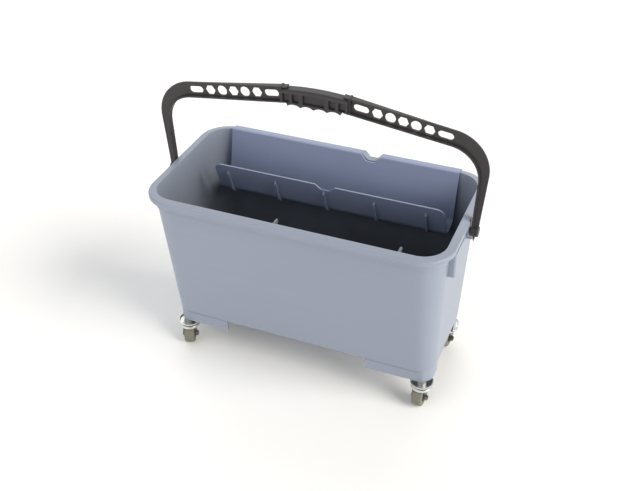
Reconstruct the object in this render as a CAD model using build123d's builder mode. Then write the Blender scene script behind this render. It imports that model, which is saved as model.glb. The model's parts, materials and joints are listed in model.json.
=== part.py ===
"""Rectangular window-cleaning bucket on four swivel castors, with a bail and a hook-on tool tray.

Millimetres, +X along the bucket's length, -Y its front, +Z up. The origin is on the floor, under the middle.
"""

from build123d import *
from math import cos, hypot, radians, sin
import os

os.makedirs("parts", exist_ok=True)

# ---- tub's sizes ------------------------------------------------------------
rim_z = 313.0
inner_x = 231.0  # half length of the mouth, at the rim
inner_y = 117.0
inner_r = 37.0
wall = 3.0
body_z = 63.5  # underside of the tub's floor
base_x = 224.0  # half length of the outside, at the floor
base_y = 86.5
base_r = 26.0
floor_edge_r = 9.0
lip_out = 12.5  # how far the rim's lip stands out from the mouth
lip_drop = 24.5
skirt_z = 47.0
skirt_inset = 1.2
skirt_r = 22.0
skirt_gap_left_x = -129.0  # ends of the cut-away between the feet
skirt_gap_right_x = 115.0
skirt_gap_y = 48.0

# ---- end blocks under the rim ----------------------------------------------
block_x = 243.0
block_low_z = 256.0
block_high_z = 298.0
block_near_y = 28.0
block_far_y = 74.0
block_deep = 20.0
block_wall = 3.0
block_r = 3.0
block_hollow = 6.0
block_hollow_high = 31.0

# ---- gussets inside the front wall ------------------------------------------
gusset_xs = (-26.0, 167.0)
gusset_t = 3.0
gusset_out = 24.0  # how far they stand in from the wall
gusset_down = 8.5  # their top edge, below the rim
gusset_deep = 33.0

# ---- bail and its pivots ---------------------------------------------------
pivot_z = 292.0
peg_r = 4.0
eye_r = 8.0
eye_in_x = 244.0
eye_out_x = 256.0
peg_in_x = 234.0
pivot_boss_r = 9.5
pivot_boss_x = 225.0  # where the bosses start, inside the tub's wall
peg_head_r = 5.9
peg_head_t = 1.9
peg_end_x = 255.6
sink_r = 6.2  # countersink for a peg's head
sink_deep = 2.6
web_half = 1.5  # half depth of the bail's web
flange_half = 6.0  # half depth of the flange along its inner edge
flange_t = 2.4
tooth_half = 3.5
grip_x = 52.0  # half length of the grip
arm_end_x = 205.0
arm_top = ((grip_x, 182.4), (arm_end_x, 160.7))
arm_low = ((grip_x, 156.8), (arm_end_x, 137.0))
leg_out = ((254.8, 0.0), (262.8, 100.0))
leg_in = ((245.0, 0.0), (249.2, 100.0))
bend_out_r = 61.0
bend_in_r = 50.0
hole_d = 16.3
slot_len = 23.5
slot_wide = 11.0
slot_xs = (70.0, 196.0)
hex_xs = (94.2, 133.0, 172.0)
round_xs = (114.0, 152.2)

# ---- tray ------------------------------------------------------------------
tray_left_x = -200.0
tray_right_x = 194.5
tray_t = 2.8
# outside of the trough's section: front edge, the two bends, and where the back panel meets the rim
tray_front = (39.5, 288.0)
tray_front_bend = (60.7, 227.5)
tray_back_bend = (97.2, 227.5)
tray_rim = (115.6, 313.3)
tray_bend_r = 16.0
hook_gap = 0.3  # clearance between the hook and the rim's lip
hook_t = 1.4
hook_fall = 0.187  # slope of the lip's top
hook_end_z = 304.5
rib_xs = (-176.5, -91.5, -6.5, 78.5, 163.5)
rib_t = 3.2
rib_h = 3.6
rib_down = 11.0  # top of the ribs, below the front edge
front_notch_x = -3.7
back_notch_x = 48.0
notch_half = 17.0
notch_deep = 10.5
notch_lean = 9.4

# ---- castors ---------------------------------------------------------------
castor_x = 207.0
castor_y = 76.0
wheel_r = 16.0
tyre_half = 8.0
hub_half = 8.6
hub_r = 10.2
trail = 7.0
axle_r = 2.5
fork_in = 9.0  # half gap between the fork's legs
fork_t = 1.6
crown_z = 34.6  # underside of the fork's crown
crown_t = 1.6
crown_r = 17.2
crown_edge = 2.8  # depth of the crown's turned-down edge
ball_r = 1.0
ball_ring_r = 9.5
ball_count = 12
dish_t = 1.2
dish_r = 18.3
dish_rise = 3.2
neck_r = 7.6
shank_r = 3.0
spigot_r = 4.9
spigot_top_z = 61.5
rivet_r = 4.2
leg_top = 12.6  # half width of a fork's leg at the crown
leg_foot = 5.0
bolt_head_r = 4.4
bolt_head_t = 1.8
nut_r = 4.6
nut_t = 3.2
hub_boss_r = 5.0
hub_web_r = 8.2
hub_web_deep = 2.2
tyre_edge_r = 2.0
boss_r = 9.0
running_gap = 0.06
# each castor's place and the heading of its trailing wheel, in degrees from +X
castors = {
    "front_left": (-1, -1, -70.0),
    "front_right": (1, -1, -95.0),
    "rear_right": (1, 1, -97.0),
    "rear_left": (-1, 1, -80.0),
}


def wall_half(z):
    """Half length, half width and corner radius of the tub's outside at height z."""
    s = (z - body_z) / (rim_z - body_z)
    half_x = base_x + s * (inner_x + wall - base_x)
    half_y = base_y + s * (inner_y + wall - base_y)
    return half_x, half_y, base_r + s * (inner_r + wall - base_r)


def meet(a, b):
    """Where the lines through the two point pairs a and b cross."""
    (x1, y1), (x2, y2) = a
    (x3, y3), (x4, y4) = b
    d = (x1 - x2) * (y3 - y4) - (y1 - y2) * (x3 - x4)
    p = x1 * y2 - y1 * x2
    q = x3 * y4 - y3 * x4
    return ((p * (x3 - x4) - (x1 - x2) * q) / d, (p * (y3 - y4) - (y1 - y2) * q) / d)


def shifted(a, b, amount):
    """The line from a to b moved to its left by amount, as a point pair."""
    length = hypot(b[0] - a[0], b[1] - a[1])
    over = (a[1] - b[1]) * amount / length
    up = (b[0] - a[0]) * amount / length
    return ((a[0] + over, a[1] + up), (b[0] + over, b[1] + up))


# a notch that a tool's handle rests in, as a sketch whose origin is on the edge that it cuts
notch_over = 6.0
notch_flare = 4.0
with BuildSketch() as notch:
    with BuildLine():
        FilletPolyline(
            (-notch_half - notch_flare, notch_over),
            (-notch_half, 0),
            (-notch_half + notch_lean, -notch_deep),
            (notch_half - notch_lean, -notch_deep),
            (notch_half, 0),
            (notch_half + notch_flare, notch_over),
            radius=5,
        )
        Line((notch_half + notch_flare, notch_over), (-notch_half - notch_flare, notch_over))
    make_face()
back_notch_z = rim_z + 1.2
back_notch_deep = 32.0
back_notch_y = inner_y + lip_out + 8.0
back_notch_at = (back_notch_x, back_notch_y, back_notch_z)
back_notch_plane = Plane(origin=back_notch_at, x_dir=(1, 0, 0), z_dir=(0, -1, 0))

# ---- tub -------------------------------------------------------------------
cavity_low_z = body_z + wall + 0.5
cavity_high_z = rim_z + 10.0
with BuildPart() as cavity:
    for z in (cavity_low_z, cavity_high_z):
        half_x, half_y, corner = wall_half(z)
        with BuildSketch(Plane.XY.offset(z)):
            RectangleRounded(2 * (half_x - wall), 2 * (half_y - wall), corner - wall)
    loft(ruled=True)
    fillet(cavity.faces().sort_by(Axis.Z)[0].edges(), floor_edge_r)

lip_face_low = -9.0
lip_round = 3.0
cove_end = 3.2  # where the cove under the lip meets the wall
# half of the rim: the lip's section carried round the mouth from the front's middle to the back's
with BuildPart() as half_rim:
    with BuildLine(Plane.XY.offset(rim_z)) as rim_path:
        FilletPolyline((0, -inner_y), (inner_x, -inner_y), (inner_x, inner_y), (0, inner_y), radius=inner_r)
    with BuildSketch(Plane(origin=(0, -inner_y, rim_z), x_dir=(0, -1, 0), z_dir=(-1, 0, 0))):
        with BuildLine():
            Line((-1, 0), (2, 0))
            Line((2, 0), (lip_out - lip_round, -1.4))
            ThreePointArc(
                (lip_out - lip_round, -1.4),
                (lip_out - 0.25 * lip_round, -2.3),
                (lip_out, -1.4 - lip_round),
            )
            Line((lip_out, -1.4 - lip_round), (lip_out, lip_face_low))
            ThreePointArc((lip_out, lip_face_low), (6.2, -13.4), (cove_end, -21.5))
            Line((cove_end, -21.5), (cove_end, -lip_drop))
            Line((cove_end, -lip_drop), (-1, -lip_drop))
            Line((-1, -lip_drop), (-1, 0))
        make_face()
    sweep(path=rim_path.line)

with BuildPart() as tub:
    for z in (body_z, rim_z - 0.5):
        half_x, half_y, corner = wall_half(z)
        with BuildSketch(Plane.XY.offset(z)):
            RectangleRounded(2 * half_x, 2 * half_y, corner)
    loft(ruled=True)
    fillet(tub.faces().sort_by(Axis.Z)[0].edges(), floor_edge_r)
    add(half_rim.part)
    add(half_rim.part.mirror(Plane.YZ))
    # hollow blocks under the rim at both ends, which leave a recess for the bail's eye between them
    block_mid_y = (block_near_y + block_far_y) / 2
    block_wide = block_far_y - block_near_y
    with BuildSketch(Plane.XY.offset(block_low_z)):
        with GridLocations(2 * block_x - block_deep, 2 * block_mid_y, 2, 2):
            RectangleRounded(block_deep, block_wide, block_r)
    extrude(amount=block_high_z - block_low_z)
    # pivot bosses
    for side in (-1, 1):
        with BuildSketch(Plane(origin=(side * pivot_boss_x, 0, pivot_z), z_dir=(side, 0, 0))):
            Circle(pivot_boss_r)
        extrude(amount=block_x - 0.5 - pivot_boss_x)
    # foot skirt, with a boss for each castor's stem
    with BuildSketch(Plane.XY.offset(skirt_z)):
        skirt_x = base_x - skirt_inset
        skirt_y = base_y - skirt_inset
        RectangleRounded(2 * skirt_x, 2 * skirt_y, skirt_r)
        offset(amount=-wall, mode=Mode.SUBTRACT)
        with Locations(((skirt_gap_left_x + skirt_gap_right_x) / 2, 0)):
            Rectangle(skirt_gap_right_x - skirt_gap_left_x, 4 * base_y, mode=Mode.SUBTRACT)
        Rectangle(4 * base_x, 2 * skirt_gap_y, mode=Mode.SUBTRACT)
        with GridLocations(2 * castor_x, 2 * castor_y, 2, 2):
            Circle(boss_r)
    extrude(amount=body_z + floor_edge_r - skirt_z)
    add(cavity.part, mode=Mode.SUBTRACT)
    # hollows of the end blocks, open below
    with BuildSketch(Plane.XY.offset(block_low_z)):
        with GridLocations(2 * (block_x - block_wall) - block_hollow, 2 * block_mid_y, 2, 2):
            Rectangle(block_hollow, block_wide - 2 * block_wall)
    extrude(amount=block_hollow_high, mode=Mode.SUBTRACT)
    # seats for the pegs
    for side in (-1, 1):
        with BuildSketch(Plane(origin=(side * peg_in_x, 0, pivot_z), z_dir=(side, 0, 0))):
            Circle(peg_r)
        extrude(amount=lip_out + 5, mode=Mode.SUBTRACT)
    # sockets for the castors' stems
    with BuildSketch(Plane.XY.offset(skirt_z)):
        with GridLocations(2 * castor_x, 2 * castor_y, 2, 2):
            Circle(spigot_r)
    extrude(amount=spigot_top_z - skirt_z, mode=Mode.SUBTRACT)
    # rest for a tool's handle, through the back rim
    with BuildSketch(back_notch_plane):
        add(notch.sketch)
    extrude(amount=back_notch_deep, mode=Mode.SUBTRACT)
    # two gussets that stop an insert, inside the front wall
    for x in gusset_xs:
        with BuildSketch(Plane(origin=(x - gusset_t / 2, 0, 0), x_dir=(0, 1, 0), z_dir=(1, 0, 0))):
            with BuildLine():
                Polyline(
                    (-inner_y - 1, rim_z - gusset_down),
                    (-inner_y + gusset_out, rim_z - gusset_down),
                    (-inner_y + gusset_out, rim_z - gusset_down - 5),
                    (-inner_y + 5, rim_z - gusset_deep),
                    (-inner_y + 3, rim_z - gusset_deep),
                    close=True,
                )
            make_face()
        extrude(amount=gusset_t)

# ---- bail ------------------------------------------------------------------


def arm_mid(x):
    """Height above the pivot of the arm's middle line at x."""
    low = arm_low[0][1] + (arm_low[1][1] - arm_low[0][1]) * (x - grip_x) / (arm_end_x - grip_x)
    high = arm_top[0][1] + (arm_top[1][1] - arm_top[0][1]) * (x - grip_x) / (arm_end_x - grip_x)
    return (low + high) / 2


front = Plane(origin=(0, 0, pivot_z), x_dir=(1, 0, 0), z_dir=(0, -1, 0))
arm_fall = 7.6  # slope of the arms, in degrees
arm_root_x = grip_x - 8  # the arms run into the grip
root_top = arm_top[0][1] + 1.1
root_low = arm_low[0][1] + 1.0
corner_out = meet(arm_top, leg_out)
corner_in = meet(arm_low, leg_in)
foot_out = (leg_out[0][0], -1)
foot_in = (leg_in[0][0], -1)
top_flange_end_x = 178.0
top_flange_half = 5.0
collar_wide = 3.0
collar_rise = 0.6
grip_high = 179.0  # top of the grip at its ends
grip_crown = 3.5
grip_low = 158.0  # underside of the grip at its ends
ridge_h = 2.4
scallop_rise = 3.6
ridge_pitch = 20.8
grip_half = 10.5  # half depth of the grip
grip_edge_r = 5.0
pocket_deep = 4.0
long_pocket = 34.0
short_pocket = 10.5
near_pocket = 28.6  # middles of the short pockets
far_pocket = 43.8

with BuildPart() as half_bail:
    # web of the arm, bend and leg
    with BuildSketch(front.offset(-web_half)) as bar:
        with BuildLine():
            FilletPolyline((arm_root_x, root_top), corner_out, foot_out, radius=bend_out_r)
            FilletPolyline((arm_root_x, root_low), corner_in, foot_in, radius=bend_in_r)
            Line((arm_root_x, root_top), (arm_root_x, root_low))
            Line(foot_out, foot_in)
        make_face()
    extrude(amount=2 * web_half)
    # holes through the arm
    with BuildSketch(front.offset(-web_half)):
        for x in slot_xs:
            with Locations(Location((x, arm_mid(x), 0), (0, 0, -arm_fall))):
                SlotOverall(slot_len, slot_wide)
        for x in hex_xs:
            with Locations(Location((x, arm_mid(x), 0), (0, 0, -arm_fall))):
                RegularPolygon(hole_d / 2 + 0.5, 6)
        for x in round_xs:
            with Locations((x, arm_mid(x))):
                Circle(hole_d / 2)
    extrude(amount=2 * web_half, mode=Mode.SUBTRACT)
    # flange all along the inner edge
    with BuildSketch(front.offset(-flange_half)):
        with BuildLine():
            FilletPolyline((arm_root_x, root_low), corner_in, foot_in, radius=bend_in_r)
            FilletPolyline(
                (arm_root_x, root_low + flange_t),
                (corner_in[0] + flange_t, corner_in[1] + flange_t),
                (foot_in[0] + flange_t, foot_in[1]),
                radius=bend_in_r + flange_t,
            )
            Line((arm_root_x, root_low), (arm_root_x, root_low + flange_t))
            Line(foot_in, (foot_in[0] + flange_t, foot_in[1]))
        make_face()
    extrude(amount=2 * flange_half)
    # flange along the arm's top, which tapers off towards the bend
    with BuildSketch(Plane.XY.offset(pivot_z)):
        Polygon(
            (arm_root_x, -top_flange_half),
            (grip_x, -top_flange_half),
            (top_flange_end_x, -web_half),
            (top_flange_end_x, web_half),
            (grip_x, top_flange_half),
            (arm_root_x, top_flange_half),
            align=None,
        )
    top_flange = extrude(amount=root_top, mode=Mode.PRIVATE)
    with BuildSketch(front.offset(-top_flange_half), mode=Mode.PRIVATE) as top_strip:
        with BuildLine():
            Polyline(
                (arm_root_x, root_top),
                arm_top[1],
                (arm_top[1][0], arm_top[1][1] - flange_t),
                (arm_root_x, root_top - flange_t),
                close=True,
            )
        make_face()
    add(extrude(top_strip.sketch, amount=2 * top_flange_half, mode=Mode.PRIVATE) & top_flange)
    # eye at the foot of the leg, with a small lip below it
    with BuildSketch(Plane(origin=(eye_in_x, 0, pivot_z), z_dir=(1, 0, 0))):
        Circle(eye_r)
    extrude(amount=eye_out_x - eye_in_x)
    with BuildSketch(front.offset(-tooth_half)):
        with BuildLine():
            Polyline((248.5, -6), (252, -7), (250.6, -15), (249.4, -15), close=True)
        make_face()
    extrude(amount=2 * tooth_half)
    # collar where the arm meets the grip
    collar_top = arm_top[0][1] + collar_rise
    with BuildSketch(front.offset(-flange_half)):
        with Locations((grip_x + 1.5, (grip_low + collar_top) / 2)):
            Rectangle(collar_wide, collar_top - grip_low)
    extrude(amount=2 * flange_half)

with BuildPart() as grip:
    with BuildSketch(front.offset(-grip_half)):
        with BuildLine():
            ThreePointArc((-grip_x, grip_high), (0, grip_high + grip_crown), (grip_x, grip_high))
            Line((grip_x, grip_high), (grip_x, grip_low))
            Line((-grip_x, grip_low), (-grip_x, grip_high))
            # five pointed finger ridges, with scallops between them
            ridges = [(k * ridge_pitch, grip_low - ridge_h) for k in range(-2, 3)]
            points = [(-grip_x, grip_low)] + ridges + [(grip_x, grip_low)]
            for a, b in zip(points[:-1], points[1:]):
                ThreePointArc(a, ((a[0] + b[0]) / 2, max(a[1], b[1]) + scallop_rise), b)
        make_face()
    extrude(amount=2 * grip_half)
    face_edges = grip.faces().filter_by(Axis.Y).edges()
    top_edges = face_edges.filter_by_position(Axis.Z, pivot_z + 170, pivot_z + 190)
    fillet(top_edges.filter_by(GeomType.CIRCLE), grip_edge_r)
    # pockets in the front and back faces: one long, two short on each side
    near_rise = 0.4
    far_rise = -0.2
    for face_y in (-grip_half, grip_half - pocket_deep):
        with BuildSketch(front.offset(face_y)):
            mid = (grip_low + grip_high) / 2
            with Locations((0, mid + 0.8)):
                RectangleRounded(long_pocket, 14.5, 1.2)
            for x, rise in ((near_pocket, near_rise), (far_pocket, far_rise)):
                with Locations((-x, mid + rise), (x, mid + rise)):
                    RectangleRounded(short_pocket, 13.6, 1.8)
        extrude(amount=pocket_deep, mode=Mode.SUBTRACT)

with BuildPart() as bail:
    add(half_bail.part)
    add(half_bail.part.mirror(Plane.YZ))
    add(grip.part)
    # stop teeth on the left leg's inner edge
    for h in (45.0, 63.0):
        with BuildSketch(front.offset(-tooth_half)):
            with BuildLine():
                Polyline((-250.0, h - 9), (-250.0, h + 5), (-245.6, h + 3.5), close=True)
            make_face()
        extrude(amount=2 * tooth_half)
    # peg holes, countersunk flat for the pegs' heads
    for side in (-1, 1):
        with BuildSketch(Plane(origin=(side * (eye_in_x - 1), 0, pivot_z), z_dir=(side, 0, 0))):
            Circle(peg_r + running_gap)
        extrude(amount=20, mode=Mode.SUBTRACT)
        with BuildSketch(Plane(origin=(side * (eye_out_x - sink_deep), 0, pivot_z), z_dir=(side, 0, 0))):
            Circle(sink_r)
        extrude(amount=10, mode=Mode.SUBTRACT)

bail.part.label = "bail"
export_step(bail.part, "parts/bail.step")

tub.part.label = "tub"
export_step(tub.part, "parts/tub.step")

# ---- pegs that carry the bail ------------------------------------------------
for name, side in (("left_pivot_peg", -1), ("right_pivot_peg", 1)):
    with BuildPart() as peg:
        with BuildSketch(Plane(origin=(side * peg_in_x, 0, pivot_z), z_dir=(side, 0, 0))):
            Circle(peg_r)
        extrude(amount=peg_end_x - peg_in_x)
        with BuildSketch(Plane(origin=(side * (peg_end_x - peg_head_t), 0, pivot_z), z_dir=(side, 0, 0))):
            Circle(peg_head_r)
        extrude(amount=peg_head_t)
    peg.part.label = name
    export_step(peg.part, f"parts/{name}.step")

# ---- tray --------------------------------------------------------------------
section = Plane(origin=(tray_left_x, 0, 0), x_dir=(0, 1, 0), z_dir=(1, 0, 0))
hook_base_z = rim_z + hook_gap
hook_top_z = hook_base_z + hook_t
lip_flat_y = inner_y + 2.0  # where the lip's top starts to fall
hook_in_y = inner_y + lip_out + hook_gap
hook_out_y = hook_in_y + hook_t
front_in = shifted(tray_front, tray_front_bend, tray_t)
floor_in = shifted(tray_front_bend, tray_back_bend, tray_t)
back_in = shifted(tray_back_bend, tray_rim, tray_t)
tray_corner_r = 14.0

with BuildPart() as tray:
    # the trough's wall, and a hook over the rim's lip
    with BuildSketch(section):
        with BuildLine():
            FilletPolyline(
                tray_front,
                tray_front_bend,
                tray_back_bend,
                tray_rim,
                (lip_flat_y, hook_base_z),
                (hook_in_y, hook_base_z - hook_fall * (hook_in_y - lip_flat_y)),
                (hook_in_y, hook_end_z),
                radius=(tray_bend_r, tray_bend_r, 0.5, 1.0, 1.5),
            )
            front_top = meet(front_in, ((0, tray_front[1]), (1, tray_front[1])))
            FilletPolyline(
                front_top,
                meet(front_in, floor_in),
                meet(floor_in, back_in),
                meet(back_in, ((0, hook_top_z), (1, hook_top_z))),
                (lip_flat_y, hook_top_z),
                (hook_out_y, hook_top_z - hook_fall * (hook_out_y - lip_flat_y)),
                (hook_out_y, hook_end_z),
                radius=(tray_bend_r - tray_t, tray_bend_r - tray_t, 2.0, 1.0, 3.2),
            )
            Line(tray_front, front_top)
            Line((hook_in_y, hook_end_z), (hook_out_y, hook_end_z))
        make_face()
    extrude(amount=tray_right_x - tray_left_x)
    # ribs down the outside of the front panel and under the bend
    rib_out = shifted(tray_front, tray_front_bend, -rib_h)
    rib_in = shifted(tray_front, tray_front_bend, 1.0)
    rib_low_z = tray_front_bend[1] - rib_h
    rib_seat_z = tray_front_bend[1] + 1.0
    rib_end_y = (tray_front_bend[0] + tray_back_bend[0]) / 2
    rib_top = meet(rib_in, ((0, tray_front[1] - rib_down), (1, tray_front[1] - rib_down)))
    for x in rib_xs:
        with BuildSketch(section.offset(x - rib_t / 2 - tray_left_x)):
            with BuildLine():
                FilletPolyline(
                    rib_top,
                    meet(rib_out, ((0, tray_front[1] - rib_down - 8), (1, tray_front[1] - rib_down - 8))),
                    meet(rib_out, ((0, rib_low_z), (1, rib_low_z))),
                    (rib_end_y, rib_low_z),
                    radius=(3, tray_bend_r + rib_h),
                )
                FilletPolyline(
                    rib_top,
                    meet(rib_in, ((0, rib_seat_z), (1, rib_seat_z))),
                    (rib_end_y, rib_seat_z),
                    radius=tray_bend_r - 1,
                )
                Line((rib_end_y, rib_low_z), (rib_end_y, rib_seat_z))
            make_face()
        extrude(amount=rib_t)
    # rounded upper corners of the front panel
    tray_mid_x = (tray_left_x + tray_right_x) / 2
    tray_long = tray_right_x - tray_left_x
    front_high = 100.0
    front_start = (tray_mid_x, tray_front[0] - 6, tray_front[1] - front_high / 2)
    with BuildSketch(Plane(origin=front_start, x_dir=(1, 0, 0), z_dir=(0, 1, 0))):
        Rectangle(tray_long + 10, front_high + 10)
        RectangleRounded(tray_long, front_high, tray_corner_r, mode=Mode.SUBTRACT)
    extrude(amount=22, mode=Mode.SUBTRACT)
    # rests for a tool's handle, cut in the front and back edges
    front_notch_y = tray_front[0] + 6
    front_notch_at = (front_notch_x, front_notch_y, tray_front[1])
    with BuildSketch(Plane(origin=front_notch_at, x_dir=(1, 0, 0), z_dir=(0, -1, 0))):
        add(notch.sketch)
    extrude(amount=10, mode=Mode.SUBTRACT)
    with BuildSketch(back_notch_plane):
        add(notch.sketch)
    extrude(amount=back_notch_deep, mode=Mode.SUBTRACT)

tray.part.label = "tray"
export_step(tray.part, "parts/tray.step")

# ---- castors -------------------------------------------------------------------
crown_top_z = crown_z + crown_t
ball_z = crown_top_z + 0.1 + ball_r
dish_z = ball_z + ball_r


def axle_plane(place_x, place_y, heading):
    """Plane square to a castor's axle, through its middle, with its x trailing and its y up."""
    a = radians(heading)
    hub_x = place_x + trail * cos(a)
    hub_y = place_y + trail * sin(a)
    return Plane(origin=(hub_x, hub_y, wheel_r), x_dir=(cos(a), sin(a), 0), z_dir=(sin(a), -cos(a), 0))


for name, (side_x, side_y, heading) in castors.items():
    at_x = side_x * castor_x
    at_y = side_y * castor_y
    upright = Plane(origin=(at_x, at_y, 0), x_dir=(1, 0, 0), z_dir=(0, -1, 0))

    # stem: spigot in the tub, neck, shank through the race and the crown, riveted head
    with BuildPart() as stem:
        with BuildSketch(upright):
            with BuildLine():
                Polyline(
                    (0, spigot_top_z),
                    (spigot_r - 1, spigot_top_z),
                    (spigot_r, spigot_top_z - 1),
                    (spigot_r, skirt_z),
                    (neck_r, skirt_z),
                    (neck_r, dish_z + dish_t),
                    (shank_r, dish_z + dish_t),
                    (shank_r, crown_z - 0.2),
                    (rivet_r, crown_z - 0.2),
                    (rivet_r - 0.8, crown_z - 1.3),
                    (0, crown_z - 1.3),
                    close=True,
                )
            make_face()
        revolve(axis=Axis((at_x, at_y, 0), (0, 0, 1)))
    stem.part.label = f"{name}_stem"
    export_step(stem.part, f"parts/{name}_stem.step")

    # upper race: a dished ring
    with BuildPart() as race:
        with BuildSketch(upright):
            with BuildLine():
                Polyline(
                    (shank_r, dish_z),
                    (dish_r - 6.2, dish_z),
                    (dish_r - 1.6, dish_z + 0.5),
                    (dish_r, dish_z + 1.6),
                    (dish_r, dish_z + dish_t + dish_rise),
                    (dish_r - dish_t, dish_z + dish_t + dish_rise),
                    (dish_r - dish_t - 0.2, dish_z + 2.4),
                    (dish_r - 2.4, dish_z + 1.6),
                    (dish_r - 6.4, dish_z + dish_t),
                    (shank_r, dish_z + dish_t),
                    close=True,
                )
            make_face()
        revolve(axis=Axis((at_x, at_y, 0), (0, 0, 1)))
    race.part.label = f"{name}_race"
    export_step(race.part, f"parts/{name}_race.step")

    with BuildPart() as balls:
        with Locations((at_x, at_y, ball_z)):
            with PolarLocations(ball_ring_r, ball_count):
                Sphere(ball_r)
    balls.part.label = f"{name}_balls"
    export_step(balls.part, f"parts/{name}_balls.step")

    # fork: a crown disc with a turned-down edge, and two legs to the axle
    crown_plane = Plane.XY.offset(crown_z)
    across = axle_plane(at_x, at_y, heading)
    with BuildPart() as fork:
        with BuildSketch(crown_plane):
            with Locations((at_x, at_y)):
                Circle(crown_r)
        extrude(amount=crown_t)
        fillet(fork.edges().sort_by(Axis.Z)[-1], 1.0)
        with BuildSketch(crown_plane):
            with Locations((at_x, at_y)):
                Circle(crown_r)
                Circle(crown_r - fork_t, mode=Mode.SUBTRACT)
        extrude(amount=-crown_edge)
        for start in (-fork_in - fork_t, fork_in):
            with BuildSketch(across.offset(start)):
                with BuildLine():
                    Polyline(
                        (-trail - leg_top, crown_z - wheel_r),
                        (-leg_foot, -2.0),
                        (leg_foot, -2.0),
                        (-trail + leg_top, crown_z - wheel_r),
                        close=True,
                    )
                make_face()
                Circle(leg_foot + 0.3)
            extrude(amount=fork_t)
        with BuildSketch(across.offset(-fork_in - fork_t)):
            Circle(axle_r)
        extrude(amount=2 * (fork_in + fork_t), mode=Mode.SUBTRACT)
        with BuildSketch(crown_plane):
            with Locations((at_x, at_y)):
                Circle(shank_r + running_gap)
        extrude(amount=crown_t, mode=Mode.SUBTRACT)
    fork.part.label = f"{name}_fork"
    export_step(fork.part, f"parts/{name}_fork.step")

    # axle bolt, and its nut
    with BuildPart() as axle:
        with BuildSketch(across.offset(-fork_in - fork_t - nut_t - 0.8)):
            Circle(axle_r)
        extrude(amount=2 * (fork_in + fork_t) + nut_t + 0.8)
        with BuildSketch(across.offset(fork_in + fork_t)):
            Circle(bolt_head_r)
        extrude(amount=bolt_head_t)
    axle.part.label = f"{name}_axle"
    export_step(axle.part, f"parts/{name}_axle.step")

    with BuildPart() as nut:
        with BuildSketch(across.offset(-fork_in - fork_t - nut_t)):
            RegularPolygon(nut_r, 6)
            Circle(axle_r, mode=Mode.SUBTRACT)
        extrude(amount=nut_t)
    nut.part.label = f"{name}_nut"
    export_step(nut.part, f"parts/{name}_nut.step")

    with BuildPart() as hub:
        with BuildSketch(across.offset(-tyre_half)):
            Circle(hub_r)
        extrude(amount=2 * tyre_half)
        with BuildSketch(across.offset(-hub_half)):
            Circle(hub_boss_r)
        extrude(amount=2 * hub_half)
        for start in (-tyre_half, tyre_half - hub_web_deep):
            with BuildSketch(across.offset(start)):
                Circle(hub_web_r)
                Circle(hub_boss_r, mode=Mode.SUBTRACT)
            extrude(amount=hub_web_deep, mode=Mode.SUBTRACT)
        with BuildSketch(across.offset(-hub_half)):
            Circle(axle_r + running_gap)
        extrude(amount=2 * hub_half, mode=Mode.SUBTRACT)
    hub.part.label = f"{name}_hub"
    export_step(hub.part, f"parts/{name}_hub.step")

    with BuildPart() as tyre:
        with BuildSketch(across.offset(-tyre_half)):
            Circle(wheel_r)
            Circle(hub_r, mode=Mode.SUBTRACT)
        extrude(amount=2 * tyre_half)
        fillet(tyre.edges().filter_by(GeomType.CIRCLE).sort_by(SortBy.RADIUS)[-2:], tyre_edge_r)
    tyre.part.label = f"{name}_tyre"
    export_step(tyre.part, f"parts/{name}_tyre.step")
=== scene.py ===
"""Finish of a window cleaning bucket: moulded plastics, plated castors with turned wheels, and a studio."""

import json
from math import cos, pi, radians, sin

import bmesh
import bpy
from bpy.props import FloatProperty, FloatVectorProperty, IntProperty, PointerProperty
from bpy.types import Operator, Panel, PropertyGroup
from mathutils import Matrix, Vector


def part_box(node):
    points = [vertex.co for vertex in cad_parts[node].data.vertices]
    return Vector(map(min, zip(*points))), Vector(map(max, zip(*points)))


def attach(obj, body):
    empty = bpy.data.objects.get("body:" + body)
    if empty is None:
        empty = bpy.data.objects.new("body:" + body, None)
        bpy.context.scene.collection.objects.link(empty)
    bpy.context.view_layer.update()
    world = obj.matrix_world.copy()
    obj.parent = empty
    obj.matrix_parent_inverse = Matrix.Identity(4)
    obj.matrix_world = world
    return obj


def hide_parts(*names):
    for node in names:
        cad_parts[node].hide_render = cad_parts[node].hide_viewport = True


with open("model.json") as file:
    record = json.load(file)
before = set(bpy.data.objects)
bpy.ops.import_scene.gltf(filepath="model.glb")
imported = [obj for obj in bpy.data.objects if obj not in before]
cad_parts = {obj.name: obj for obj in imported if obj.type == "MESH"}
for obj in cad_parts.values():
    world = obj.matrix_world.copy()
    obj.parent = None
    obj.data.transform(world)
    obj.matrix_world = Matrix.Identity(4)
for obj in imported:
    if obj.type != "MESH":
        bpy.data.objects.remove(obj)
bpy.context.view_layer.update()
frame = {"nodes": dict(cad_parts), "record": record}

bl_info = {
    "name": "Window Cleaning Bucket",
    "version": (1, 0, 0),
    "blender": (4, 5, 0),
    "location": "View3D > Sidebar > Bucket",
    "description": "Gives a wheeled bucket its plastics, plated castors and studio",
    "category": "Object",
}

CORNERS = ("front_left", "front_right", "rear_right", "rear_left")
MM = 0.001
X, Y, Z = range(3)
WHITE = (1.0, 1.0, 1.0)

# The outer face of the tub's wall, in metres: where it starts and ends, its half sizes and corner radius at
# the foot, and how much each of them gains on the way up.
FOOT_Z, RIM_Z = 0.0635, 0.313
HALF_LENGTH, LENGTH_GAIN = 0.224, 0.010
HALF_WIDTH, WIDTH_GAIN = 0.0865, 0.0335
CORNER, CORNER_GAIN = 0.026, 0.014


# ---- shader nodes ------------------------------------------------------------


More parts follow.
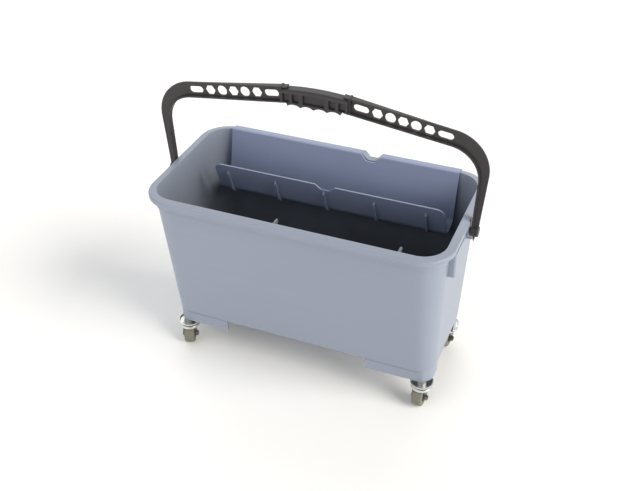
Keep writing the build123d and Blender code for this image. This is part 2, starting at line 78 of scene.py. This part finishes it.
class Value:
    """A node's output that value maths can be written with."""

    def __init__(self, tree, socket):
        self.tree = tree
        self.socket = socket

    def calc(self, operation, first, second=0.0):
        return self.tree.add("ShaderNodeMath", {"operation": operation}, {0: first, 1: second})

    def __add__(self, other):
        return self.calc("ADD", self, other)

    def __radd__(self, other):
        return self.calc("ADD", other, self)

    def __sub__(self, other):
        return self.calc("SUBTRACT", self, other)

    def __rsub__(self, other):
        return self.calc("SUBTRACT", other, self)

    def __mul__(self, other):
        return self.calc("MULTIPLY", self, other)

    def __rmul__(self, other):
        return self.calc("MULTIPLY", other, self)

    def __truediv__(self, other):
        return self.calc("DIVIDE", self, other)

    def __rtruediv__(self, other):
        return self.calc("DIVIDE", other, self)

    def __pow__(self, other):
        return self.calc("POWER", self, other)

    def __rpow__(self, other):
        return self.calc("POWER", other, self)

    def __abs__(self):
        return self.calc("ABSOLUTE", self)

    def at_least(self, other):
        return self.calc("MAXIMUM", self, other)

    def at_most(self, other):
        return self.calc("MINIMUM", self, other)

    def step(self, low, high):
        """0 below low and 1 above high, straight between them."""
        return ((self - low) / (high - low)).at_least(0.0).at_most(1.0)


class Tree:
    """The nodes of a material or a world."""

    def __init__(self, owner):
        owner.use_nodes = True
        self.owner = owner
        self.nodes = owner.node_tree.nodes
        self.links = owner.node_tree.links
        self.nodes.clear()

    def add(self, kind, settings=None, inputs=None, output=0):
        """Add a node, set it up, fill its inputs with values or links, and give one of its outputs."""
        node = self.nodes.new(kind)
        for key, value in (settings or {}).items():
            if key == "stops":
                while len(node.color_ramp.elements) < len(value):
                    node.color_ramp.elements.new(0.5)
                for element, (position, shade) in zip(node.color_ramp.elements, value):
                    element.position = position
                    element.color = (shade, shade, shade, 1.0)
            else:
                setattr(node, key, value)
        for key, value in (inputs or {}).items():
            if isinstance(value, Value):
                self.links.new(value.socket, node.inputs[key])
            else:
                node.inputs[key].default_value = value
        return Value(self, node.outputs[output])

    def object_place(self):
        """Position on the piece, in metres."""
        return self.add("ShaderNodeTexCoord", output="Object")

    def scaled(self, place, scale):
        """Position stretched by a scale, for patterns with a direction."""
        return self.add("ShaderNodeMapping", None, {"Vector": place, "Scale": scale})

    def noise(self, place, scale, detail=3.0, roughness=0.55):
        """Soft noise from 0 to 1."""
        values = {"Vector": place, "Scale": scale, "Detail": detail, "Roughness": roughness}
        return self.add("ShaderNodeTexNoise", None, values)

    def ramp(self, value, *stops):
        """Value carried through stops of (position, level)."""
        return self.add("ShaderNodeValToRGB", {"stops": stops}, {"Fac": value})

    def mix(self, factor, first, second):
        """Blend of two colours."""
        return self.add("ShaderNodeMix", {"data_type": "RGBA"}, {0: factor, 6: first, 7: second}, output=2)

    def along(self, place, axis):
        """One component of a position."""
        return self.add("ShaderNodeSeparateXYZ", None, {"Vector": place}, output=axis)

    def bump(self, height, strength, distance):
        inputs = {"Height": height, "Strength": strength, "Distance": distance}
        return self.add("ShaderNodeBump", None, inputs)

    def surface(self, **inputs):
        """Principled surface, with underscores in place of the spaces in the names of its inputs."""
        named = {key.replace("_", " "): value for key, value in inputs.items()}
        shader = self.add("ShaderNodeBsdfPrincipled", None, named)
        self.add_output("ShaderNodeOutputMaterial", shader)
        return self.owner

    def add_output(self, kind, shader):
        node = self.nodes.new(kind)
        self.links.new(shader.socket, node.inputs["Surface"])


# ---- materials ---------------------------------------------------------------


def shade(colour, factor):
    """Colour made lighter or darker, with full alpha."""
    return (colour[0] * factor, colour[1] * factor, colour[2] * factor, 1.0)


def depth_in_tub(tree, place):
    """Distance inwards from the tub's outer face, from the tapered, rounded shape of its wall."""
    rise = (tree.along(place, Z) - FOOT_Z) / (RIM_Z - FOOT_Z)
    corner = rise * CORNER_GAIN + CORNER
    over_x = abs(tree.along(place, X)) - (rise * LENGTH_GAIN + HALF_LENGTH) + corner
    over_y = abs(tree.along(place, Y)) - (rise * WIDTH_GAIN + HALF_WIDTH) + corner
    out_x = over_x.at_least(0.0)
    out_y = over_y.at_least(0.0)
    return corner - (out_x * out_x + out_y * out_y) ** 0.5 - over_x.at_least(over_y).at_most(0.0)


def moulded_plastic(name, colour, grain, gloss, dust, painted_shade=None):
    """Injection-moulded polypropylene: flow streaks, fine texture, handling marks, settled dust and, where
    asked, painted shade.

    The last argument, if any, gives 0 to 1 of painted shade from a tree and a place.
    """
    tree = Tree(bpy.data.materials.new(name))
    place = tree.object_place()
    cloud = tree.noise(place, 7.0, 2.0)
    streaks = tree.noise(tree.scaled(place, (5.0, 5.0, 90.0)), 1.0, 4.0)
    speckle = tree.noise(place, 2600.0, 1.0)
    scratches = tree.noise(tree.scaled(place, (26.0, 26.0, 260.0)), 1.0, 5.0, 0.7)
    scuffs = tree.ramp(scratches, (0.62, 0.0), (0.72, 1.0))
    tone = cloud * 0.30 + streaks * 0.40 + speckle * 0.30
    body = tree.mix(tone, shade(colour, 0.93), shade(colour, 1.07))
    wear_and_painted_shade = tree.mix(scuffs * dust, body, shade(colour, 1.35))
    # Painted shade, if asked: the colour darkens towards a sixth of itself.
    if painted_shade:
        wear_and_painted_shade = tree.mix(painted_shade(tree, place), wear_and_painted_shade, shade(colour, 0.16))
    roughness = gloss + streaks * 0.06 + scuffs * 0.10
    texture = tree.noise(place, grain, 2.0) + speckle * 0.3 + scuffs * 0.4
    return tree.surface(
        Base_Color=wear_and_painted_shade,
        Roughness=roughness,
        IOR=1.49,
        Normal=tree.bump(texture, 0.10, 0.0004),
    )


def tub_painted_shade(tree, place):
    """Painted shade on the tub's inner faces, deeper towards the bottom and also on the gussets."""
    shade_top, fade, strength = 0.3115, 0.15, 0.80
    depth = (shade_top - tree.along(place, Z)).step(0.0, fade)
    shade_variation = tree.noise(place, 22.0, 4.0) * 0.3 + 0.85
    inward = depth_in_tub(tree, place)
    inside = inward.step(0.0012, 0.0022)
    # The gussets get painted shade too, at three quarters strength, whatever their height.
    on_gusset = inward.step(0.005, 0.008) * 0.75
    return inside * (depth ** 0.6).at_least(on_gusset) * shade_variation * strength


def tray_painted_shade(tree, place):
    """Painted shade in the trough, deeper towards the bottom."""
    shade_top, fade, strength = 0.300, 0.09, 0.34
    depth = (shade_top - tree.along(place, Z)).step(0.0, fade)
    shade_variation = tree.noise(place, 30.0, 4.0) * 0.3 + 0.85
    return depth * shade_variation * strength


def plated_steel(name, colour, roughness, tarnish, painted_shade_below=None):
    """Plated steel: fine draw lines, soft smudges and a few dull spots.

    Below the height given last, in metres, the plating is darkened with painted shade.
    """
    tree = Tree(bpy.data.materials.new(name))
    place = tree.object_place()
    lines = tree.noise(tree.scaled(place, (700.0, 700.0, 3500.0)), 1.0, 3.0)
    smudge = tree.noise(place, 140.0, 4.0)
    spots = tree.ramp(tree.noise(place, 520.0, 2.0), (0.60, 0.0), (0.74, 1.0))
    body = tree.mix(smudge, shade(colour, 0.86), shade(colour, 1.08))
    tarnish_and_painted_shade = tree.mix(spots * tarnish, body, shade(colour, 0.45))
    if painted_shade_below is not None:
        # Painted shade: the plating darkens below that height.
        low = (painted_shade_below - tree.along(place, Z)).step(0.0, 0.0008)
        tarnish_and_painted_shade = tree.mix(low * (smudge * 0.2 + 0.8), tarnish_and_painted_shade, shade(colour, 0.16))
    return tree.surface(
        Base_Color=tarnish_and_painted_shade,
        Metallic=1.0,
        Roughness=roughness + smudge * 0.16 + lines * 0.06 + spots * tarnish * 0.25,
        Normal=tree.bump(lines * 0.5 + spots, 0.06, 0.0002),
    )


def wheel_rubber(name, colour):
    """Hard grey tread: mottled, matt, with rolled-in dirt."""
    tree = Tree(bpy.data.materials.new(name))
    place = tree.object_place()
    mottle = tree.noise(place, 240.0, 4.0)
    fine = tree.noise(place, 2200.0, 3.0, 0.7)
    dirt = tree.ramp(tree.noise(place, 420.0, 5.0, 0.7), (0.52, 0.0), (0.70, 1.0))
    body = tree.mix(mottle, shade(colour, 0.84), shade(colour, 1.14))
    soiled = tree.mix(dirt * 0.45, body, shade(colour, 0.5))
    return tree.surface(
        Base_Color=soiled,
        Roughness=0.62 + fine * 0.20 + dirt * 0.08,
        Normal=tree.bump(fine + mottle * 0.8, 0.25, 0.0003),
    )


# ---- mesh helpers ------------------------------------------------------------


def lathe(bm, profile, centre, axis, steps):
    """Spin a closed profile of (radius, distance along the axis) points into a ring or a plug."""
    along = Vector(axis).normalized()
    outward = along.orthogonal().normalized()
    points = [bm.verts.new(centre + outward * (r * MM) + along * (h * MM)) for r, h in profile]
    edges = [bm.edges.new((a, b)) for a, b in zip(points, points[1:])]
    if profile[0][0] > 0.0:
        edges.append(bm.edges.new((points[-1], points[0])))
    bmesh.ops.spin(
        bm, geom=points + edges, cent=centre, axis=along, angle=2.0 * pi, steps=steps, use_merge=True
    )
    bmesh.ops.remove_doubles(bm, verts=bm.verts, dist=1e-6)


def tread_outline(radius, half_width, seam):
    """Half of a tread's section, from its bore round the shoulder to its crown, mirrored about the middle.

    All in mm. The seam is the height of the parting line that stands out round the middle.
    """
    shoulder = ((6.4, 0.1), (2.4, 0.1), (2.1, 0.0), (1.4, 0.05), (0.7, 0.45), (0.25, 1.2), (0.15, 2.2))
    side = [(radius - down, half_width - inwards) for down, inwards in shoulder]
    side += [(radius - seam, 0.7), (radius - seam, 0.35)]
    return [(r, -h) for r, h in side] + [(radius, 0.0)] + side[::-1]


def finish_piece(bm, name, body, material, sharp=35.0):
    """Make a piece of a bmesh, riding on a body, with edges left sharp from an angle in degrees."""
    bmesh.ops.recalc_face_normals(bm, faces=bm.faces)
    for face in bm.faces:
        face.smooth = True
    mesh = bpy.data.meshes.new(name)
    bm.to_mesh(mesh)
    bm.free()
    mesh.set_sharp_from_angle(angle=radians(sharp))
    mesh.materials.append(material)
    piece = bpy.data.objects.new(name, mesh)
    bpy.context.scene.collection.objects.link(piece)
    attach(piece, body)
    return piece


def dress(node, material):
    """Give a CAD node a material in place of its own."""
    mesh = frame["nodes"][node].data
    mesh.materials.clear()
    mesh.materials.append(material)


def joint_axis(name):
    """Direction of a joint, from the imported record."""
    for joint in frame["record"]["behaviour"]["joints"]:
        if joint["name"] == name:
            return Vector(joint["axis"])
    raise RuntimeError(f"no joint named {name}")


# ---- settings ----------------------------------------------------------------


def colour_setting(name, description, default):
    """Colour that can be picked in the panel."""
    return FloatVectorProperty(
        name=name, description=description, subtype="COLOR", size=3, default=default, min=0, max=1
    )


class BucketColours(PropertyGroup):
    """Colours of the bucket's materials."""

    tub: colour_setting("Tub", "Plastic of the tub", (0.266, 0.298, 0.372))
    tray: colour_setting("Tray", "Plastic of the tray", (0.240, 0.282, 0.415))
    bail: colour_setting("Bail", "Plastic of the bail", (0.030, 0.026, 0.028))
    pegs: colour_setting("Pegs", "Plastic of the pivots", (0.012, 0.012, 0.013))
    plating: colour_setting("Plating", "Bright castor parts", (0.72, 0.72, 0.71))
    necks: colour_setting("Necks", "Castor stems", (0.46, 0.48, 0.46))
    bolts: colour_setting("Bolts", "Castor bolts and nuts", (0.20, 0.20, 0.205))
    wheels: colour_setting("Wheels", "Tread of the wheels", (0.190, 0.185, 0.140))


class BucketWheels(PropertyGroup):
    """Shape of the castors' small parts."""

    # Below this height the fork's plating is darkened with painted shade.
    painted_shade_below: FloatProperty(
        name="Bright above",
        description="Height at which the fork's bright crown starts",
        default=0.0316,
        min=0,
        max=0.1,
        unit="LENGTH",
    )
    width: FloatProperty(name="Width", description="Width of the tread, in mm", default=16.0, min=10, max=30)
    steps: IntProperty(name="Steps", description="Faces round a turned part", default=64, min=16, max=128)
    seam: FloatProperty(
        name="Seam", description="Height of the tread's parting line, in mm", default=0.18, min=0.0, max=0.5
    )


class BucketStudio(PropertyGroup):
    """Camera and lights."""

    lens: FloatProperty(
        name="Lens", description="Focal length", default=53.77, min=20, max=200, subtype="DISTANCE_CAMERA"
    )
    azimuth: FloatProperty(
        name="Azimuth", description="Camera's turn about the bucket", default=radians(22.42), subtype="ANGLE"
    )
    elevation: FloatProperty(
        name="Elevation", description="Camera's angle above the floor", default=radians(36.01), subtype="ANGLE"
    )
    roll: FloatProperty(name="Roll", description="Camera's tilt", default=radians(-0.6), subtype="ANGLE")
    distance: FloatProperty(
        name="Distance",
        description="Camera's distance from its aim",
        default=1.6446,
        min=0.5,
        max=10,
        unit="LENGTH",
    )
    aim: FloatVectorProperty(
        name="Aim",
        description="Point that the camera looks at",
        size=3,
        default=(-0.0352, 0.0871, 0.1313),
        subtype="XYZ",
    )
    key: FloatProperty(name="Key", description="Strength of the light on the right", default=3.0, min=0)
    fill: FloatProperty(name="Fill", description="Strength of the light in front", default=0.75, min=0)


# ---- operators ---------------------------------------------------------------


class BUCKET_OT_tub(Operator):
    """Finish the tub and the pegs pressed into it"""

    bl_idname = "bucket.tub"
    bl_label = "Tub"

    def execute(self, context):
        colours = context.scene.bucket_colours
        # The tub's inner faces get painted shade.
        dress("tub", moulded_plastic("tub_plastic", colours.tub, 900.0, 0.34, 0.22, tub_painted_shade))
        pegs = moulded_plastic("peg_plastic", colours.pegs, 1400.0, 0.30, 0.10)
        for node in ("left_pivot_peg", "right_pivot_peg"):
            dress(node, pegs)
        return {"FINISHED"}


class BUCKET_OT_tray(Operator):
    """Finish the tray"""

    bl_idname = "bucket.tray"
    bl_label = "Tray"

    def execute(self, context):
        colour = context.scene.bucket_colours.tray
        # The tray's trough gets painted shade.
        dress("tray", moulded_plastic("tray_plastic", colour, 1000.0, 0.36, 0.18, tray_painted_shade))
        return {"FINISHED"}


class BUCKET_OT_bail(Operator):
    """Finish the bail"""

    bl_idname = "bucket.bail"
    bl_label = "Bail"

    def execute(self, context):
        dress("bail", moulded_plastic("bail_plastic", context.scene.bucket_colours.bail, 1500.0, 0.46, 0.30))
        return {"FINISHED"}


class BUCKET_OT_castors(Operator):
    """Finish the castors, with a turned tread on each wheel"""

    bl_idname = "bucket.castors"
    bl_label = "Castors"

    def execute(self, context):
        colours = context.scene.bucket_colours
        wheels = context.scene.bucket_wheels
        bright = plated_steel("bright_plate", colours.plating, 0.14, 0.25)
        dull = plated_steel("dull_plate", colours.bolts, 0.30, 0.6)
        satin = plated_steel("satin_plate", colours.necks, 0.46, 0.3)
        # The fork gets painted shade below its crown.
        painted_shade_fork = plated_steel("fork_plate_painted_shade", colours.plating, 0.18, 0.35, wheels.painted_shade_below)
        rubber = wheel_rubber("wheel_tread", colours.wheels)
        core = moulded_plastic("hub_plastic", shade(colours.wheels, 0.9)[:3], 1500.0, 0.42, 0.2)
        for corner in CORNERS:
            for part in ("race", "balls"):
                dress(f"{corner}_{part}", bright)
            for part in ("axle", "nut"):
                dress(f"{corner}_{part}", dull)
            dress(f"{corner}_fork", painted_shade_fork)
            dress(f"{corner}_stem", satin)
            dress(f"{corner}_hub", core)
            bm = bmesh.new()
            low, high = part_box(f"{corner}_tyre")
            radius = (high.z - low.z) / (2.0 * MM)
            outline = tread_outline(radius, wheels.width / 2.0, wheels.seam)
            lathe(bm, outline, (low + high) / 2.0, joint_axis(f"{corner}_wheel_joint"), wheels.steps)
            tread = finish_piece(bm, f"{corner}_tread", f"{corner}_wheel", rubber)
            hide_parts(f"{corner}_tyre")
        return {"FINISHED"}


def direction(azimuth, elevation):
    """Way towards a lamp or the camera: azimuth 0 is in front of the bucket, and it grows to the right."""
    level = cos(elevation)
    return Vector((sin(azimuth) * level, -cos(azimuth) * level, sin(elevation)))


class BUCKET_OT_studio(Operator):
    """Build the floor, the lights and the camera"""

    bl_idname = "bucket.studio"
    bl_label = "Studio"

    def execute(self, context):
        studio = context.scene.bucket_studio
        self.floor()
        self.world(context.scene)
        self.lights(studio)
        self.camera(context.scene, studio)
        context.scene.view_settings.view_transform = "Standard"
        return {"FINISHED"}

    def floor(self):
        bm = bmesh.new()
        bmesh.ops.create_grid(bm, x_segments=8, y_segments=8, size=12.0)
        mesh = bpy.data.meshes.new("floor")
        bm.to_mesh(mesh)
        bm.free()
        floor = bpy.data.objects.new("floor", mesh)
        bpy.context.scene.collection.objects.link(floor)
        tree = Tree(bpy.data.materials.new("paper"))
        fibre = tree.noise(tree.object_place(), 40.0, 4.0)
        paper = tree.mix(fibre, shade(WHITE, 0.955), shade(WHITE, 0.975))
        mesh.materials.append(tree.surface(Base_Color=paper, Roughness=0.9))

    def world(self, scene):
        scene.world = bpy.data.worlds.new("studio")
        tree = Tree(scene.world)
        up = tree.along(tree.add("ShaderNodeTexCoord", output="Generated"), Z)
        sky = tree.ramp(up, (0.0, 0.90), (0.25, 0.62), (0.7, 0.26), (1.0, 0.20))
        seen = tree.add("ShaderNodeLightPath", output="Is Camera Ray")
        light = tree.add("ShaderNodeBackground", None, {"Color": sky, "Strength": 1.0})
        backdrop = tree.add("ShaderNodeBackground", None, {"Color": shade(WHITE, 1.0), "Strength": 1.0})
        lit = tree.add("ShaderNodeMixShader", None, {0: seen, 1: light, 2: backdrop})
        tree.add_output("ShaderNodeOutputWorld", lit)

    def lights(self, studio):
        for name, strength, tint, spread, azimuth, elevation in (
            ("key", studio.key, (1.0, 0.97, 0.89), 40.0, 84.0, 32.0),
            ("fill", studio.fill, WHITE, 60.0, -25.0, 30.0),
            ("back", 0.9, WHITE, 60.0, 200.0, 38.0),
            ("left", 0.4, WHITE, 60.0, -90.0, 35.0),
        ):
            lamp = bpy.data.lights.new(name, "SUN")
            lamp.energy = strength
            lamp.color = tint
            lamp.angle = radians(spread)
            sun = bpy.data.objects.new(name, lamp)
            towards = direction(radians(azimuth), radians(elevation))
            sun.rotation_euler = towards.to_track_quat("Z", "Y").to_euler()
            bpy.context.scene.collection.objects.link(sun)

    def camera(self, scene, studio):
        back = direction(studio.azimuth, studio.elevation)
        right = Vector((0, 0, 1)).cross(back).normalized()
        up = back.cross(right)
        turn = Matrix((right, up, back)).transposed().to_4x4() @ Matrix.Rotation(studio.roll, 4, "Z")
        data = bpy.data.cameras.new("camera")
        data.sensor_width = 36.0
        data.lens = studio.lens
        camera = bpy.data.objects.new("camera", data)
        camera.matrix_world = Matrix.Translation(Vector(studio.aim) + back * studio.distance) @ turn
        scene.collection.objects.link(camera)
        scene.camera = camera


class BUCKET_PT_panel(Panel):
    """Lists the bucket's groups of pieces"""

    bl_idname = "BUCKET_PT_panel"
    bl_label = "Bucket"
    bl_space_type = "VIEW_3D"
    bl_region_type = "UI"
    bl_category = "Bucket"

    def draw(self, context):
        for settings in ("bucket_colours", "bucket_wheels", "bucket_studio"):
            group = getattr(context.scene, settings)
            for key in group.__annotations__:
                self.layout.prop(group, key)
        for operator in OPERATORS:
            self.layout.operator(operator.bl_idname)


GROUPS = {"bucket_colours": BucketColours, "bucket_wheels": BucketWheels, "bucket_studio": BucketStudio}
OPERATORS = (BUCKET_OT_tub, BUCKET_OT_tray, BUCKET_OT_bail, BUCKET_OT_castors, BUCKET_OT_studio)


def register():
    for cls in (*GROUPS.values(), *OPERATORS, BUCKET_PT_panel):
        bpy.utils.register_class(cls)
    for name, group in GROUPS.items():
        setattr(bpy.types.Scene, name, PointerProperty(type=group))


def unregister():
    for name in GROUPS:
        delattr(bpy.types.Scene, name)
    for cls in reversed((*GROUPS.values(), *OPERATORS, BUCKET_PT_panel)):
        bpy.utils.unregister_class(cls)


def main():
    """Build everything."""
    register()
    bpy.ops.bucket.tub()
    bpy.ops.bucket.tray()
    bpy.ops.bucket.bail()
    bpy.ops.bucket.castors()
    bpy.ops.bucket.studio()


if __name__ == "__main__":
    main()
